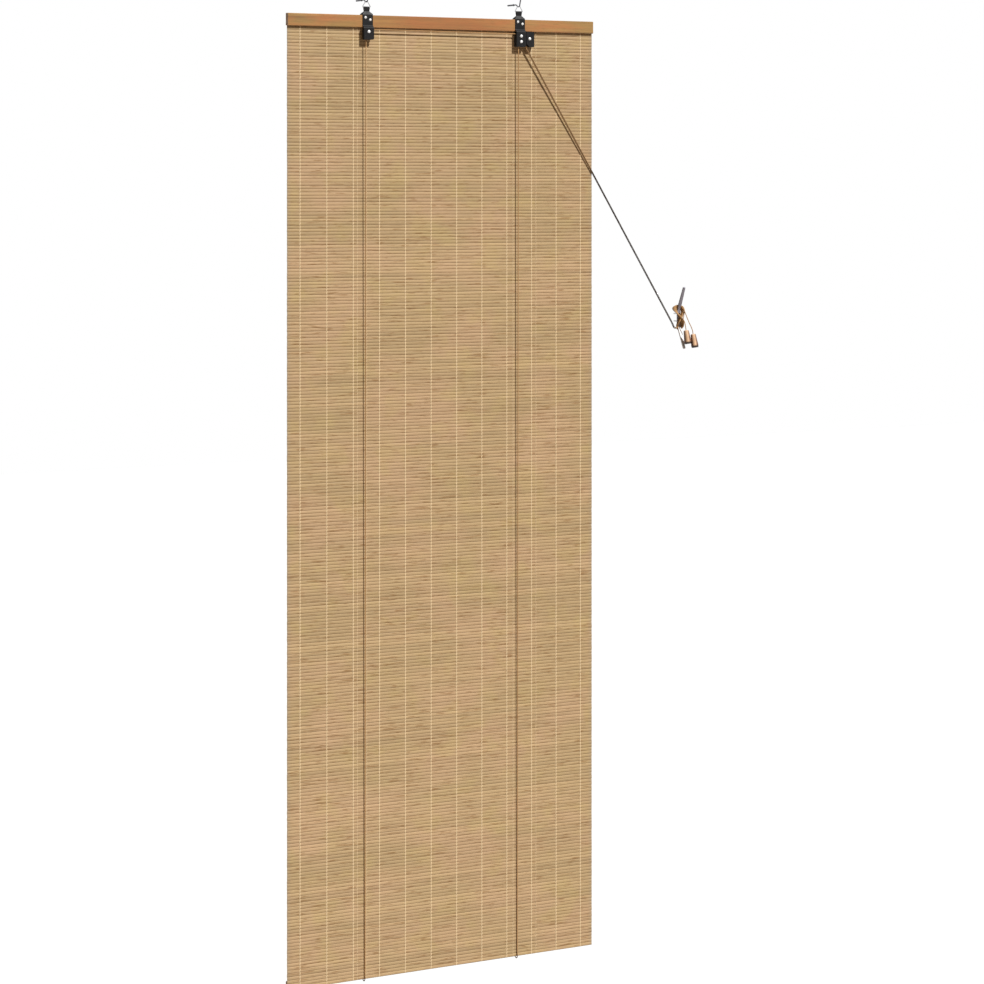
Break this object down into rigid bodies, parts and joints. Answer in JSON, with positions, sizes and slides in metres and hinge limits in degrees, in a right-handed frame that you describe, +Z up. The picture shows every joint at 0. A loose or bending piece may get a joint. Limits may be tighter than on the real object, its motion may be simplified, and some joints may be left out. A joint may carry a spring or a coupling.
{
  "type": "roll up blind",
  "caption": "Bamboo roll up blind hung on two screw hooks, with cord lock, lift cords, wall cleat and wooden pulls.",
  "frame": {"origin": "on the wall plane, midway between the shanks of the two screw hooks", "axes": "+X to the blind's right seen from the room, +Y into the wall, +Z up; the room is on the -Y side"},
  "size_m": [1.0909, 0.0818, 2.243],
  "materials": {
    "bamboo_slats": "split bamboo, satin, with darker streaks and knots",
    "binding_thread": "undyed cotton thread",
    "stained_wood": "stained and lightly lacquered",
    "turned_wood": "turned, bare, satin",
    "lift_cord": "braided cotton cord",
    "dark_painted_steel": "black lacquer, worn bright at some edges",
    "grey_painted_steel": "smooth grey",
    "roller_plastic": "smooth",
    "cam_metal": "cast, toothed nose",
    "bright_wire": "drawn wire",
    "zinc_plated_steel": "bright zinc plating"
  },
  "bodies": {
    "mountings": {"left_screw_hook": "zinc_plated_steel", "right_screw_hook": "zinc_plated_steel", "left_bail": "bright_wire", "right_bail": "bright_wire", "cord_cleat": "grey_painted_steel", "cleat_screws": "zinc_plated_steel", "cleat_winding": "lift_cord", "left_pull_cord": "lift_cord", "right_pull_cord": "lift_cord", "left_cord_end": "lift_cord", "right_cord_end": "lift_cord", "left_wooden_pull": "turned_wood", "right_wooden_pull": "turned_wood"},
    "blind": {"front_batten": "stained_wood", "rear_batten": "stained_wood", "reed_mat": "bamboo_slats", "front_warp_threads": "binding_thread", "rear_warp_threads": "binding_thread", "left_bracket": "dark_painted_steel", "right_bracket": "dark_painted_steel", "lock_housing": "dark_painted_steel", "left_roller_axle": "zinc_plated_steel", "upper_roller_axle": "zinc_plated_steel", "lower_roller_axle": "zinc_plated_steel", "cam_axle": "zinc_plated_steel", "bracket_screws": "zinc_plated_steel", "cord_staples": "bright_wire", "left_top_cord": "lift_cord", "right_top_cord": "lift_cord", "left_front_cord": "lift_cord", "right_front_cord": "lift_cord", "left_back_cord": "lift_cord", "right_back_cord": "lift_cord"},
    "foot": {"bottom_lath": "stained_wood", "left_cord_loop": "lift_cord", "right_cord_loop": "lift_cord"},
    "left_roller": {"left_roller": "roller_plastic"},
    "upper_roller": {"upper_roller": "roller_plastic"},
    "lower_roller": {"lower_roller": "roller_plastic"},
    "lock_cam": {"lock_cam": "cam_metal"}
  },
  "joints": [
    {"name": "swing", "type": "hinge", "parent": "mountings", "child": "blind", "pos_m": [0, -0.0245, -0.01748], "axis": [-1, 0, 0], "range_deg": [-0.35, 15], "deforming": ["left_pull_cord", "right_pull_cord"]},
    {"name": "lift", "type": "slide", "parent": "blind", "child": "foot", "axis": [0, 0, 1], "range_m": [0, 2.05], "deforming": ["reed_mat", "front_warp_threads", "rear_warp_threads", "left_front_cord", "right_front_cord", "left_back_cord", "right_back_cord"]},
    {"name": "left_roller_spin", "type": "hinge", "parent": "blind", "child": "left_roller", "pos_m": [-0.2, -0.0326, -0.073], "axis": [0, 1, 0], "continuous": true},
    {"name": "upper_roller_spin", "type": "hinge", "parent": "blind", "child": "upper_roller", "pos_m": [0.2, -0.0326, -0.0743], "axis": [0, 1, 0], "continuous": true},
    {"name": "lower_roller_spin", "type": "hinge", "parent": "blind", "child": "lower_roller", "pos_m": [0.2, -0.0326, -0.0871], "axis": [0, 1, 0], "continuous": true},
    {"name": "lock_release", "type": "hinge", "parent": "blind", "child": "lock_cam", "pos_m": [0.2224, -0.0326, -0.08], "axis": [0, 1, 0], "range_deg": [0, 40]}
  ],
  "couplings": [
    {"joint": "left_roller_spin", "follows": "lift", "rad_per_m": 370.37},
    {"joint": "upper_roller_spin", "follows": "lift", "rad_per_m": 370.37},
    {"joint": "lower_roller_spin", "follows": "lift", "rad_per_m": 370.37}
  ]
}
